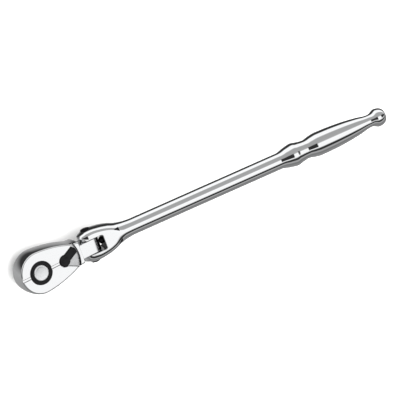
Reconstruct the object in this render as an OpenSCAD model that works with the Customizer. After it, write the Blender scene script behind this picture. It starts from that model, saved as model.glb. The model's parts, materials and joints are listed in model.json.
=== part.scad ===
// Flex-head ratchet wrench with a pear-shaped head, a quick-release button and a reversing lever.
// Frame: origin at the centre of the square drive, on the face that a socket seats against.
// +Z runs up the drive axis and out of the back of the head, +X runs along the head to the handle.

/* [Drive] */
// Square drive across its flats
drive_square = 9.53; // [8:0.01:12]
// Length of the square below the socket seat
drive_length = 11; // [9.5:0.1:16]
// Diameter of the detent ball
ball_d = 3.5; // [3:0.1:4]
// How far the ball stands out of the square's face
ball_out = 0.8; // [0.5:0.05:1]
// Height of the ball above the free end of the square
ball_height = 5.5; // [4.5:0.1:7]
// Diameter of the ratchet gear over its teeth
gear_d = 20.8; // [18.6:0.1:25]
// Number of teeth, a multiple of 12
gear_teeth = 72; // [48:12:84]
// Depth of the teeth
tooth_depth = 0.5; // [0.4:0.05:0.6]
// Height of the toothed band
gear_face = 8.5; // [6.5:0.1:12]
// How far the socket seat stands proud of the head
seat_proud = 1; // [0.5:0.1:2]

/* [Head] */
// Wall round the gear
head_wall = 4.3; // [3.5:0.1:6]
// Roof over the gear, measured beside the lever's recess
roof = 4; // [3.8:0.1:6]
// Thickness of the cover plate under the gear
cover_t = 1.8; // [1.4:0.1:2.4]
// Chamfer round the head
head_edge = 1; // [0.4:0.1:1.2]
// Radius of the head's flanks in plan
flank_r = 80; // [60:1:110]
// Radius of the hollow where each flank runs out to the shoulder
neck_r = 14; // [8:1:20]
// Distance from the lever's pivot to the head's shoulder
shoulder_run = 14.4; // [13.6:0.1:20]
// Width of the head at its shoulder
shoulder_w = 17; // [15.5:0.1:22]
// Rounding of the shoulder's corners
shoulder_round = 2.2; // [1.5:0.1:3]
// Width of the groove along the back of the head
spine_w = 2.1; // [1:0.1:3]
// Depth of that groove
spine_depth = 0.3; // [0.1:0.05:0.5]

/* [Reversing lever] */
// Distance from the gear's teeth to the lever's pivot
lever_run = 8.4; // [8:0.1:11]
// Width of the thumb piece
lever_w = 5.8; // [4.5:0.1:7]
// Length of the thumb piece from its pivot
lever_length = 10.9; // [9:0.1:11]
// Swing to each side of the head's centre line
lever_swing = 27; // [20:1:28]
// Diameter of the lever's shaft
lever_shaft_d = 6.4; // [5.6:0.1:6.8]
// Depth of the lever's recess
recess_depth = 2.2; // [1.6:0.1:2.4]
// How far the lever stands proud of the head
lever_proud = 0.5; // [0:0.1:1]

/* [Release button] */
// Diameter of the button
button_d = 10.9; // [9.5:0.1:11.6]
// Outer diameter of the black ring round the button
ring_d = 16.3; // [15.8:0.1:17.6]
// Travel of the button
button_travel = 2; // [1.6:0.1:2.2]

/* [Flex joint] */
// Angle between head and handle at rest
rest_flex = 9; // [-60:1:60]
// Height of the flex pivot above the middle of the head
pivot_rise = 1.1; // [0:0.1:1.2]
// Distance from the head's shoulder to the flex pivot
tang_run = 8.8; // [8.6:0.1:12]
// Width of the tang
tang_w = 9.8; // [8:0.1:12]
// Diameter of the tang's eye
tang_d = 12.6; // [11:0.1:13]
// Diameter of the pivot bolt
bolt_d = 4.9; // [4:0.1:5.6]
// Diameter of the bolt's head and of its nut
bolt_head_d = 6.6; // [6.4:0.1:8]
// Thickness of each friction washer
washer_t = 0.3; // [0.2:0.05:0.6]
// Diameter of the friction plug behind the tang
plug_d = 4.8; // [3.6:0.1:5.6]

/* [Handle] */
// Width of the yoke
yoke_w = 23.3; // [20:0.1:27]
// Thickness of the yoke over its flats
yoke_t = 14; // [12:0.1:16]
// Depth of the slot behind the pivot
slot_depth = 9; // [9:0.1:14]
// Diameter of the shaft
shaft_d = 11.4; // [9:0.1:12.4]
// Diameter of the ring in front of the grip
collar_d = 16.2; // [13.5:0.1:19]
// Diameter of the waist behind the ring
waist_d = 13.1; // [11.5:0.1:15]
// Largest diameter of the grip
grip_d = 16.3; // [14:0.1:19]
// Diameter of the neck in front of the end knob
tail_d = 8.9; // [7:0.1:10.5]
// Diameter of the end knob
knob_d = 12.8; // [11.5:0.1:15.2]
// Length of the handle from its pivot
handle_length = 221; // [170:1:300]
// Length of the grip with its ring and its knob
grip_length = 80; // [70:1:95]

/* [Fits] */
// Radial clearance of a running fit
run_gap = 0.05; // [0.03:0.01:0.08]
// Gap between moving faces
face_gap = 0.1; // [0.05:0.01:0.2]

/* [Hidden] */
$fn = 72;
eps = 0.01;

// Heights in the head
under_z = seat_proud;
cover_z = under_z + cover_t;
washer_h = 0.4;
gear_z = cover_z + washer_h + face_gap;
gear_top_z = gear_z + gear_face;
ceiling_z = gear_top_z + 2 * face_gap;
top_z = ceiling_z + roof;
head_h = top_z - under_z;
mid_z = (under_z + top_z) / 2;
recess_z = top_z - recess_depth;

// Plan of the head: a round end, two flank arcs tangent to it, and a hollow neck tangent to them
gear_r = gear_d / 2;
cavity_r = gear_r + 0.5;
head_r = cavity_r + head_wall;
lever_x = gear_r + lever_run;
shoulder_x = lever_x + shoulder_run;
pivot_x = shoulder_x + tang_run;
pivot_z = mid_z + pivot_rise;
neck_x = shoulder_x - shoulder_round;
neck_y = shoulder_w / 2 + neck_r;
neck_far = norm([neck_x, neck_y]);
flank_along = (pow(flank_r - head_r, 2) - pow(flank_r + neck_r, 2) + pow(neck_far, 2)) / (2 * neck_far);
flank_aside = sqrt(pow(flank_r - head_r, 2) - pow(flank_along, 2));
flank_x = (flank_along * neck_x + flank_aside * neck_y) / neck_far;
flank_y = (flank_along * neck_y - flank_aside * neck_x) / neck_far;
join_x = flank_x + (neck_x - flank_x) * flank_r / (flank_r + neck_r);

// Gear, its journals and the square
seat_r = drive_square * sqrt(2) / 2 + 1.3;
corner_r = drive_square * 0.66;
square_edge = 0.7;
washer_r = gear_r - 0.9;

// Release button, ring, plunger and ball
journal_r = ring_d / 2;
button_r = button_d / 2;
pocket_r = button_r + 0.95;
ring_h = 1;
ring_spigot = 1;
flange_h = 1.2;
button_proud = 0.3;
flange_top_z = top_z - ring_h - ring_spigot - run_gap;
flange_z = flange_top_z - flange_h;
pocket_z = flange_z - button_travel - 2.4;
ball_r = ball_d / 2;
ball_gap = 0.03;
ball_z = ball_height - drive_length;
ball_x = drive_square / 2 + ball_out - ball_r;
ball_lip = 0.27;
cam_slope = ball_out / button_travel;
cam_r = ball_x - sqrt(1 + cam_slope * cam_slope) * (ball_r + ball_gap);
plunger_r = cam_r + 0.1;
cam_rise = button_travel + 0.6;
cam_thin_r = cam_r - cam_slope * cam_rise;
plunger_z = ball_z - 2.2;
plunger_bore_z = plunger_z - button_travel - 0.2;

// Pawl: a rocker on a pin with one toothed arm to each side, and its pocket in the head
pitch = 360 / gear_teeth;
mesh_gap = 0.08;
rock = 3.5;
pin_x = gear_r + 2.3;
pin_r = 0.9;
arm_first = ceil(24 / pitch);
arm_last = floor(40 / pitch);
arm_r = gear_r + 2.8;
pawl_front_r = gear_r + 0.6;
pawl_back_x = gear_r + 4.7;
pawl_room = 1.3;
pawl_z = gear_z + 0.3;
pawl_h = gear_face - 0.6;
pocket_y = (arm_r + 0.3) * sin(arm_last * pitch) + 0.6;

// Lever shaft, its spring plunger, clip and seal
shaft_r = lever_shaft_d / 2;
hub_r = shaft_r + 0.75;
recess_hub_r = hub_r + 0.35;
recess_side = lever_w / 2 + 0.5;
recess_end = lever_length + 0.4;
recess_arc_r = 22;
tip_run = lever_run - 4.2;
tip_r = 0.85;
tip_len = 3.4;
tip_z = gear_z + gear_face / 2;
tip_bore = 2.2;
window_x = lever_x - shaft_r + 1.2;
window_y = tip_run * sin(lever_swing) + tip_r + 0.5;
foot_z = cover_z + 0.2;
clip_z = foot_z + 0.5;
clip_t = 0.5;
clip_r = shaft_r + 0.8;
clip_groove = 0.6;
clip_room_z = clip_z + clip_t + face_gap;
seal_r = 0.42;
seal_z = (ceiling_z + recess_z) / 2;
seal_centre = shaft_r - seal_r;

// Cover plate and its countersunk screws
cover_inset = 2.4;
cover_end = lever_x + 10.4;
screw_r = 1.25;
screw_head_r = 2.1;
screw_cone = 1.1;
screw_len = 6;
screw_x = lever_x - 3.3;
screw_y = flank_y + sqrt(pow(flank_r - cover_inset, 2) - pow(screw_x - flank_x, 2)) - screw_head_r - 0.5;
screw_places = [[screw_x, screw_y], [screw_x, -screw_y], [lever_x + 7.4, 0]];

// Flex joint
tang_r = tang_d / 2;
yoke_flat = yoke_t / 2;
slot_w = tang_w + 2 * (washer_t + run_gap);
slot_round = 1.5;
bolt_r = bolt_d / 2;
bolt_head_r = bolt_head_d / 2;
seat_y = yoke_w / 2 - 1.6;
bolt_dome = 0.6;
washer_out_r = tang_r - 1;
plug_r = plug_d / 2;
plug_from = tang_r + run_gap;
plug_len = 7;
plug_bore = slot_depth + 11;

// Profile of the handle along its axis: [distance from the flex pivot, radius]
shaft_half = shaft_d / 2;
yoke_half = yoke_w / 2;
collar_half = collar_d / 2;
waist_half = waist_d / 2;
grip_half = grip_d / 2;
tail_half = tail_d / 2;
knob_half = knob_d / 2;
grip_x = handle_length - grip_length;
knob_x = handle_length - 6.2;
knob_face = 2;

// A value part of the way from a to b
function between(a, b, share) = a + (b - a) * share;

yoke_line = [[-yoke_flat - 0.5, yoke_half - 2.2], [-4, yoke_half - 1], [-1.5, yoke_half - 0.2],
             [2.5, yoke_half],
             [9, between(shaft_half, yoke_half, 0.88)], [15, between(shaft_half, yoke_half, 0.64)],
             [21, between(shaft_half, yoke_half, 0.26)], [26, between(shaft_half, yoke_half, 0.08)],
             [32, shaft_half], [grip_x, shaft_half]];
grip_line = [[grip_x + 6, between(shaft_half, collar_half, 0.62)], [grip_x + 11.5, collar_half],
             [grip_x + 15.5, between(waist_half, collar_half, 0.45)], [grip_x + 20.3, waist_half],
             [grip_x + 24.5, between(waist_half, grip_half, 0.56)], [grip_x + 29.5, grip_half],
             [grip_x + 38, grip_half - 0.15], [grip_x + 50, between(tail_half, grip_half, 0.74)],
             [grip_x + 60, between(tail_half, grip_half, 0.38)], [knob_x - 5.6, tail_half],
             [knob_x, knob_half]];

function polar(r, a) = [r * cos(a), r * sin(a)];

// Slope of a smooth curve at station i of a list of [x, r], flat where it turns back
function slope(p, i) = i == 0 || i == len(p) - 1 ? 0 :
    let (a = (p[i][1] - p[i - 1][1]) / (p[i][0] - p[i - 1][0]),
         b = (p[i + 1][1] - p[i][1]) / (p[i + 1][0] - p[i][0]))
    a * b <= 0 ? 0 : 2 * a * b / (a + b);

// Smooth curve through the stations, n steps between each two
function smooth_line(p, n) = concat([for (i = [0 : len(p) - 2], k = [0 : n - 1])
    let (t = k / n, h = p[i + 1][0] - p[i][0], t2 = t * t, t3 = t2 * t)
    [p[i][0] + t * h, (2 * t3 - 3 * t2 + 1) * p[i][1] + (3 * t2 - 2 * t3) * p[i + 1][1]
        + h * ((t3 - 2 * t2 + t) * slope(p, i) + (t3 - t2) * slope(p, i + 1))]],
    [p[len(p) - 1]]);

// Outline of the gear's teeth, grown by a gap, from tooth i to tooth j
function tooth_line(gap, i, j) = [for (k = [2 * i : 2 * j])
    polar((k % 2 == 0 ? gear_r : gear_r - tooth_depth) + gap, k * pitch / 2)];

module at_handle() {
    translate([pivot_x, 0, pivot_z]) rotate([0, -rest_flex, 0]) children();
}

module at_lever(z) {
    translate([lever_x, 0, z]) rotate([0, 0, lever_swing]) children();
}

module about_pin(a) {
    translate([pin_x, 0, 0]) rotate([0, 0, a]) translate([-pin_x, 0, 0]) children();
}

module both_sides() {
    children();
    mirror([0, 1, 0]) children();
}

// Turned piece on the Y axis, from a profile of [radius, y]
module turned_y(profile) {
    rotate([-90, 0, 0]) rotate_extrude() polygon(profile);
}

// Disc with a chamfer c on both rims; a negative c flares the rims instead
module rimmed_disc(r, h, c) {
    rotate_extrude() polygon([[0, 0], [r - c, 0], [r, abs(c)], [r, h - abs(c)], [r - c, h], [0, h]]);
}

// Round end and flanks of the head up to x_end, drawn in by an inset
module pear(inset, x_end, h, c) {
    rimmed_disc(head_r - inset, h, c);
    intersection() {
        translate([flank_x, flank_y, 0]) rimmed_disc(flank_r - inset, h, c);
        translate([flank_x, -flank_y, 0]) rimmed_disc(flank_r - inset, h, c);
        translate([0, -head_r, 0]) cube([x_end, 2 * head_r, h]);
    }
}

// Coil of round wire that stands on z = 0 and is h tall
module coil(mean_r, wire, h, turns) {
    sides = 6;
    steps = 16 * turns;
    ring = function(i) let (a = 360 * turns * i / steps, z = wire / 2 + (h - wire) * i / steps)
        [for (j = [0 : sides - 1]) let (b = 360 * j / sides, r = mean_r + wire / 2 * cos(b))
            [r * cos(a), r * sin(a), z + wire / 2 * sin(b)]];
    polyhedron(points = [for (i = [0 : steps]) each ring(i)], faces = concat(
        [[for (j = [0 : sides - 1]) j]],
        [for (i = [0 : steps - 1], j = [0 : sides - 1]) let (a = i * sides, n = (j + 1) % sides)
            [a + j, a + sides + j, a + sides + n, a + n]],
        [[for (j = [sides - 1 : -1 : 0]) steps * sides + j]]));
}

module neck_block() {
    difference() {
        translate([join_x, -shoulder_w, 0]) cube([neck_x - join_x, 2 * shoulder_w, head_h]);
        for (s = [-1, 1]) translate([neck_x, s * neck_y, -eps])
            rimmed_disc(neck_r, head_h + 2 * eps, -head_edge);
    }
    for (s = [-1, 1]) translate([neck_x, s * (shoulder_w / 2 - shoulder_round), 0])
        rimmed_disc(shoulder_round, head_h, head_edge);
    translate([0, shoulder_w / 2 - shoulder_round, 0]) rotate([90, 0, 0])
        linear_extrude(height = shoulder_w - 2 * shoulder_round)
            polygon([[neck_x - eps, 0], [neck_x, 0], [shoulder_x, pivot_z - under_z - tang_r],
                     [shoulder_x, pivot_z - under_z + tang_r], [neck_x, head_h], [neck_x - eps, head_h]]);
}

module tang() {
    translate([pivot_x, -tang_w / 2, pivot_z]) rotate([-90, 0, 0]) cylinder(r = tang_r, h = tang_w);
    translate([shoulder_x - 2, -tang_w / 2, pivot_z - tang_r]) cube([tang_run + 2, tang_w, tang_d]);
}

// Fan-shaped recess that the thumb piece swings in, with its pivot at the origin
module fan(h) {
    cylinder(r = recess_hub_r, h = h);
    intersection() {
        linear_extrude(height = h) polygon([
            recess_side * [-sin(lever_swing), cos(lever_swing)],
            recess_side * [-sin(lever_swing), cos(lever_swing)] + 20 * [cos(lever_swing), sin(lever_swing)],
            recess_side * [-sin(lever_swing), -cos(lever_swing)] + 20 * [cos(lever_swing), -sin(lever_swing)],
            recess_side * [-sin(lever_swing), -cos(lever_swing)]]);
        translate([recess_end - recess_arc_r, 0, 0]) cylinder(r = recess_arc_r, h = h);
    }
}

module head_body() color("gainsboro") difference() {
    union() {
        translate([0, 0, under_z]) {
            pear(0, join_x + eps, head_h, head_edge);
            neck_block();
        }
        tang();
    }
    // Cover plate's seat and the gear's cavity
    translate([0, 0, under_z - 1]) pear(cover_inset - run_gap, cover_end + run_gap, cover_t + 1, 0);
    translate([0, 0, cover_z - eps]) cylinder(r = cavity_r, h = ceiling_z - cover_z + eps);
    translate([0, 0, ceiling_z - eps]) cylinder(r = journal_r + run_gap, h = roof + 1);
    // Pawl's pocket and the window to the lever's shaft
    intersection() {
        translate([0, 0, cover_z - eps]) cylinder(r = arm_r + pawl_room, h = ceiling_z - cover_z + eps);
        translate([0, -pocket_y, cover_z - eps])
            cube([arm_r + pawl_room, 2 * pocket_y, ceiling_z - cover_z + eps]);
    }
    translate([gear_r, -window_y, cover_z - eps])
        cube([window_x - gear_r, 2 * window_y, ceiling_z - cover_z + eps]);
    translate([pin_x, 0, ceiling_z - eps]) cylinder(r = pin_r, h = 1.2);
    // Lever's bore, clip room and recess
    translate([lever_x, 0, cover_z - eps]) cylinder(r = shaft_r + run_gap, h = head_h);
    translate([lever_x, 0, cover_z - eps]) cylinder(r = clip_r + 0.3, h = clip_room_z - cover_z + eps);
    translate([lever_x, 0, recess_z]) fan(recess_depth + 1);
    // Groove along the back, from the tip to the recess
    translate([-head_r - 1, -spine_w / 2, top_z - spine_depth]) cube([head_r + lever_x - hub_r, spine_w, 1]);
    for (p = screw_places) translate([p[0], p[1], cover_z - eps])
        cylinder(r = screw_r, h = screw_len - cover_t + 0.3);
    translate([pivot_x, -tang_w, pivot_z]) rotate([-90, 0, 0]) cylinder(r = bolt_r + run_gap, h = 2 * tang_w);
}

module cover_plate() color("silver") difference() {
    translate([0, 0, under_z]) pear(cover_inset, cover_end, cover_t, 0);
    translate([0, 0, under_z - 1]) cylinder(r = seat_r + run_gap, h = cover_t + 2);
    translate([pin_x, 0, cover_z - 1]) cylinder(r = pin_r, h = 2);
    for (p = screw_places) translate([p[0], p[1], under_z]) {
        translate([0, 0, -1]) cylinder(r = screw_r + run_gap, h = cover_t + 2);
        translate([0, 0, -eps]) cylinder(r1 = screw_head_r + run_gap, r2 = screw_r + run_gap, h = screw_cone);
    }
}

module cover_screws() color("dimgray")
    for (p = screw_places) translate([p[0], p[1], under_z]) difference() {
        union() {
            cylinder(r1 = screw_head_r, r2 = screw_r, h = screw_cone);
            cylinder(r = screw_r, h = screw_len);
        }
        translate([0, 0, -eps]) cylinder(r = 1.1, h = 0.9, $fn = 6);
    }

module drive_gear() color("gray") difference() {
    union() {
        translate([0, 0, gear_z]) linear_extrude(height = gear_face)
            polygon(tooth_line(0, 0, gear_teeth - 0.5));
        cylinder(r = seat_r, h = gear_z + eps);
        translate([0, 0, gear_top_z - eps]) cylinder(r = journal_r, h = top_z - ring_h - gear_top_z + eps);
        intersection() {
            translate([0, 0, -drive_length / 2])
                cube([drive_square, drive_square, drive_length + eps], center = true);
            translate([0, 0, -drive_length]) rotate_extrude() polygon([
                [0, 0], [corner_r - square_edge - 1, 0],
                [corner_r, square_edge + 1], [corner_r, drive_length + eps], [0, drive_length + eps]]);
        }
    }
    translate([0, 0, pocket_z]) cylinder(r = pocket_r, h = top_z - pocket_z);
    translate([0, 0, plunger_bore_z]) cylinder(r = plunger_r + run_gap, h = top_z - plunger_bore_z);
    translate([0, 0, ball_z]) rotate([0, 90, 0]) {
        cylinder(r = ball_r + ball_gap, h = drive_square / 2 - ball_lip);
        cylinder(r = ball_r - 0.09, h = drive_square);
    }
}

module thrust_washer() color("darkgoldenrod") translate([0, 0, cover_z]) difference() {
    cylinder(r = washer_r, h = washer_h);
    translate([0, 0, -1]) cylinder(r = seat_r + face_gap, h = washer_h + 2);
}

module button_ring() color("black") difference() {
    union() {
        translate([0, 0, top_z - ring_h]) cylinder(r = journal_r, h = ring_h);
        translate([0, 0, top_z - ring_h - ring_spigot]) cylinder(r = pocket_r, h = ring_spigot + eps);
    }
    translate([0, 0, flange_z]) cylinder(r = button_r + run_gap, h = head_h);
}

module release_button() color("lightgray") difference() {
    union() {
        translate([0, 0, flange_z]) cylinder(r = pocket_r - run_gap, h = flange_h);
        translate([0, 0, flange_z]) rotate_extrude() polygon(concat([[0, 0], [button_r, 0]],
            [for (a = [0 : 15 : 90])
                [button_r - 0.5 + 0.5 * cos(a), top_z + button_proud - 0.5 - flange_z + 0.5 * sin(a)]],
            [[0, top_z + button_proud - flange_z]]));
    }
    translate([0, 0, flange_z - 1]) cylinder(r = plunger_r, h = flange_h + 1.5);
}

module release_plunger() color("slategray") rotate_extrude() polygon([
    [0, plunger_z], [plunger_r, plunger_z], [plunger_r, ball_z - (plunger_r - cam_r) / cam_slope],
    [cam_thin_r, ball_z + cam_rise], [plunger_r, ball_z + cam_rise + plunger_r - cam_thin_r],
    [plunger_r, flange_top_z - 0.7], [0, flange_top_z - 0.7]]);

module button_spring() color("silver") translate([0, 0, pocket_z + 0.45])
    coil(plunger_r + 1.4, 0.7, flange_z - pocket_z - 0.9, 3);

module detent_ball() color("silver") translate([ball_x, 0, ball_z]) sphere(r = ball_r);

// One arm of the pawl, engaged with the gear
module pawl_arm() {
    linear_extrude(height = pawl_h) polygon(concat(
        [for (a = [-12 : 4 : 20]) polar(pawl_front_r, a)],
        tooth_line(mesh_gap, arm_first, arm_last),
        [for (a = [arm_last * pitch : -4 : -12]) polar(arm_r, a)]));
}

module pawl() color("slategray") about_pin(-rock) difference() {
    translate([0, 0, pawl_z]) {
        intersection() {
            both_sides() about_pin(-rock) pawl_arm();
            difference() {
                cylinder(r = arm_r + 2, h = pawl_h);
                translate([0, 0, -1]) cylinder(r = pawl_front_r - 0.35, h = pawl_h + 2);
            }
        }
        both_sides() about_pin(-rock) linear_extrude(height = pawl_h)
            polygon(concat(tooth_line(mesh_gap, arm_first, arm_last),
                [polar(arm_r, arm_last * pitch), polar(arm_r, arm_first * pitch)]));
        translate([pin_x - 1.2, -2.8, 0]) cube([pawl_back_x - pin_x + 1.2, 5.6, pawl_h]);
    }
    translate([pin_x, 0, 0]) cylinder(r = pin_r + run_gap, h = top_z);
    translate([lever_x, 0, 0]) cylinder(r = tip_run + face_gap, h = top_z);
}

module pawl_pin() color("silver") translate([pin_x, 0, cover_z - 1])
    cylinder(r = pin_r, h = ceiling_z - cover_z + 2);

module reversing_lever() color("dimgray") at_lever(0) difference() {
    union() {
        translate([0, 0, foot_z]) cylinder(r = shaft_r, h = top_z - foot_z);
        translate([0, 0, recess_z + face_gap])
            rimmed_disc(hub_r, top_z + lever_proud - recess_z - face_gap, 0.4);
        intersection() {
            rotate([90, 0, 90]) linear_extrude(height = lever_length)
                polygon([[-lever_w / 2, recess_z + face_gap], [lever_w / 2, recess_z + face_gap],
                         [lever_w / 2, top_z + lever_proud - 0.5], [lever_w / 2 - 0.5, top_z + lever_proud],
                         [0.5 - lever_w / 2, top_z + lever_proud],
                         [-lever_w / 2, top_z + lever_proud - 0.5]]);
            cylinder(r = lever_length, h = 2 * top_z);
        }
    }
    // Grooves of the clip and of the seal, and the bore of the spring plunger
    translate([0, 0, clip_z - face_gap / 2]) difference() {
        cylinder(r = shaft_r + 1, h = clip_t + face_gap);
        cylinder(r = shaft_r - clip_groove, h = clip_t + face_gap);
    }
    translate([0, 0, seal_z - seal_r - 0.05]) difference() {
        cylinder(r = shaft_r + 0.5, h = 2 * seal_r + 0.1);
        cylinder(r = shaft_r - 2 * seal_r - 0.03, h = 2 * seal_r + 0.1);
    }
    translate([tip_bore, 0, tip_z]) rotate([0, -90, 0]) cylinder(r = tip_r + run_gap, h = 10);
}

module lever_plunger() color("silver") at_lever(tip_z) rotate([0, -90, 0])
    rotate_extrude() polygon(concat([[0, tip_run - tip_len], [tip_r, tip_run - tip_len]],
        [for (a = [0 : 15 : 90]) [tip_r * cos(a), tip_run - tip_r + tip_r * sin(a)]]));

module lever_spring() color("silver") at_lever(tip_z) translate([tip_bore - 0.25, 0, 0]) rotate([0, -90, 0])
    coil(tip_r - 0.25, 0.3, tip_bore + tip_run - tip_len - 0.5, 4);

module lever_clip() color("dimgray") at_lever(clip_z) difference() {
    cylinder(r = clip_r, h = clip_t);
    translate([0, 0, -1]) cylinder(r = shaft_r - clip_groove + 0.02, h = clip_t + 2);
    translate([0, -1.2, -1]) cube([10, 2.4, clip_t + 2]);
}

module lever_seal() color("black") at_lever(seal_z) rotate_extrude()
    translate([seal_centre, 0]) circle(r = seal_r, $fn = 32);

// Slot between the cheeks of the yoke
module slot() {
    translate([-20, -slot_w / 2, -10]) cube([20 + slot_depth - slot_round, slot_w, 20]);
    translate([-20, slot_round - slot_w / 2, -10]) cube([20 + slot_depth, slot_w - 2 * slot_round, 20]);
    for (s = [-1, 1]) translate([slot_depth - slot_round, s * (slot_w / 2 - slot_round), -10])
        cylinder(r = slot_round, h = 20);
}

module handle() color("gainsboro") at_handle() difference() {
    rotate([0, 90, 0]) rotate_extrude() polygon([for (p = concat([[-yoke_flat - 0.5, 0]],
        smooth_line(concat(yoke_line, grip_line), 5),
        [for (a = [10 : 10 : 90])
            [between(knob_x, handle_length, sin(a)), between(knob_face, knob_half, cos(a))]],
        [[handle_length, 0]])) [p[1], p[0]]]);
    // Flats over and under the yoke, and the round ends of its cheeks
    for (s = [-1, 1]) translate([-20, -yoke_w, s > 0 ? yoke_flat : -yoke_flat - 20])
        cube([50, 2 * yoke_w, 20]);
    difference() {
        translate([-20, -yoke_w, -20]) cube([20, 2 * yoke_w, 40]);
        translate([0, -2 * yoke_w, 0]) rotate([-90, 0, 0]) cylinder(r = yoke_flat, h = 4 * yoke_w);
    }
    slot();
    rotate([0, 90, 0]) cylinder(r = plug_r + run_gap, h = plug_bore);
    translate([0, -yoke_w, 0]) rotate([-90, 0, 0]) cylinder(r = bolt_r, h = 2 * yoke_w);
    for (s = [-1, 1]) rotate([s * 90, 0, 0]) translate([0, 0, seat_y])
        cylinder(r = bolt_head_r + run_gap, h = yoke_w);
}

// Domed head of the bolt or the nut, its seat on y = 0
module domed_head() {
    rise = yoke_half - seat_y + bolt_dome;
    turned_y(concat([[0, 0], [bolt_head_r, 0]],
        [for (a = [0 : 15 : 90]) [bolt_head_r * cos(a), rise - bolt_dome + bolt_dome * sin(a)]]));
}

module pivot_bolt() color("silver") at_handle() {
    translate([0, -seat_y - 1, 0]) rotate([-90, 0, 0]) cylinder(r = bolt_r, h = 2 * seat_y + 1 + eps);
    translate([0, seat_y, 0]) domed_head();
}

module pivot_nut() color("silver") at_handle() difference() {
    mirror([0, 1, 0]) translate([0, seat_y, 0]) domed_head();
    translate([0, -seat_y - 1, 0]) rotate([-90, 0, 0]) cylinder(r = bolt_r, h = 2);
}

module friction_washers() color("dimgray") at_handle() both_sides()
    turned_y([[bolt_r + 0.05, slot_w / 2 - washer_t], [washer_out_r, slot_w / 2 - washer_t],
              [washer_out_r, slot_w / 2], [bolt_r + 0.05, slot_w / 2]]);

module friction_plug() color("slategray") at_handle() rotate([0, 90, 0]) rotate_extrude() polygon(concat(
    [for (a = [0 : 15 : 90]) [plug_r * sin(a), plug_from + 1.2 - 1.2 * cos(a)]],
    [[plug_r, plug_from + plug_len], [0, plug_from + plug_len]]));

module friction_spring() color("silver") at_handle()
    translate([plug_from + plug_len + 0.35, 0, 0]) rotate([0, 90, 0])
    coil(plug_r - 0.6, 0.6, plug_bore - plug_from - plug_len - 0.7, 6);

head_body();
cover_plate();
cover_screws();
drive_gear();
thrust_washer();
button_ring();
release_button();
release_plunger();
button_spring();
detent_ball();
pawl();
pawl_pin();
reversing_lever();
lever_plunger();
lever_spring();
lever_clip();
lever_seal();
handle();
pivot_bolt();
pivot_nut();
friction_washers();
friction_plug();
friction_spring();
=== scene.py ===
import json
import math

import bmesh
import bpy
from mathutils import Matrix, Vector


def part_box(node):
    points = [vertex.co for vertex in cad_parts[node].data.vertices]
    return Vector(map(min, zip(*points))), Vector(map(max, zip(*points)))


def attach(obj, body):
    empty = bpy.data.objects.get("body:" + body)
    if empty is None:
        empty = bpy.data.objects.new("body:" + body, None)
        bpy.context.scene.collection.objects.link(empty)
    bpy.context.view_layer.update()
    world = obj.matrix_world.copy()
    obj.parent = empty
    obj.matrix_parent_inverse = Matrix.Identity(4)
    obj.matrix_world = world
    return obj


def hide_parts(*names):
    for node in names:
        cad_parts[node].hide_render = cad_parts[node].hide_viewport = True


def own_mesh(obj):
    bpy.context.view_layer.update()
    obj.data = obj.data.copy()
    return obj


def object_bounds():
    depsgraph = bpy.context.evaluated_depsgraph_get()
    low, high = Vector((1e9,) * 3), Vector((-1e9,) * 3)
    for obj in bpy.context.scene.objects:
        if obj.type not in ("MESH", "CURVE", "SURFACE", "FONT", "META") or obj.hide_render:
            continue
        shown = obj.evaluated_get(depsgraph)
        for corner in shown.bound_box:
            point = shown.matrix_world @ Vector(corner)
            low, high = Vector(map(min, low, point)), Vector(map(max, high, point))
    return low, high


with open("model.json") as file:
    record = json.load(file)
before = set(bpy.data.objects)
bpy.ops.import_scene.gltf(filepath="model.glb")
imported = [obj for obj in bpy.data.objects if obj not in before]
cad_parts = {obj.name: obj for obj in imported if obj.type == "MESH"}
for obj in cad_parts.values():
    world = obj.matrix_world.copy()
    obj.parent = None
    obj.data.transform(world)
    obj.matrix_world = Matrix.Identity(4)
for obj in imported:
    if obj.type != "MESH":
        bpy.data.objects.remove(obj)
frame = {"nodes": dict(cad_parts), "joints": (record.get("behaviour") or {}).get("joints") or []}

# A flex-head ratchet wrench. The maker's drawing is in millimetres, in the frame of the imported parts:
# the drive axis is Z, the head runs along +X to the flex pivot, and the handle goes on from there.

MM = 0.001
cad_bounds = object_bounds()

# ---------------------------------------------------------------- camera

# A long lens from above and to the tip's left, turned so that the handle runs to the upper right
CAMERA_HEADING = 137.4
CAMERA_HEIGHT = 63.5
CAMERA_ROLL = 108.9
CAMERA_RANGE = 8.972
CAMERA_TARGET = Vector((0.1196, -0.0002, 0.0291))


def set_camera():
    lens = bpy.data.cameras.new("camera")
    lens.lens = 1200
    lens.sensor_width = 36
    lens.clip_end = 60
    camera = bpy.data.objects.new("camera", lens)
    bpy.context.scene.collection.objects.link(camera)
    turn = (Matrix.Rotation(math.radians(CAMERA_HEADING + 90), 4, "Z")
            @ Matrix.Rotation(math.radians(90 - CAMERA_HEIGHT), 4, "X")
            @ Matrix.Rotation(math.radians(CAMERA_ROLL), 4, "Z"))
    camera.matrix_world = (Matrix.Translation(CAMERA_TARGET) @ turn
                           @ Matrix.Translation((0, 0, CAMERA_RANGE)))
    bpy.context.scene.camera = camera


set_camera()

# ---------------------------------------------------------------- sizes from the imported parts


def node_box(name):
    """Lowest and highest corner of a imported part, in millimetres."""
    low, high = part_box(name)
    return low / MM, high / MM


joint_at = {j["name"]: Vector(j["pos_m"]) / MM for j in frame["joints"] if "pos_m" in j}
head_low, head_high = node_box("head_body")
ring_low, ring_high = node_box("button_ring")
button_low, button_high = node_box("release_button")
_, plunger_high = node_box("release_plunger")
_, plate_high = node_box("cover_plate")
_, lever_high = node_box("reversing_lever")
_, screws_high = node_box("cover_screws")

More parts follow.
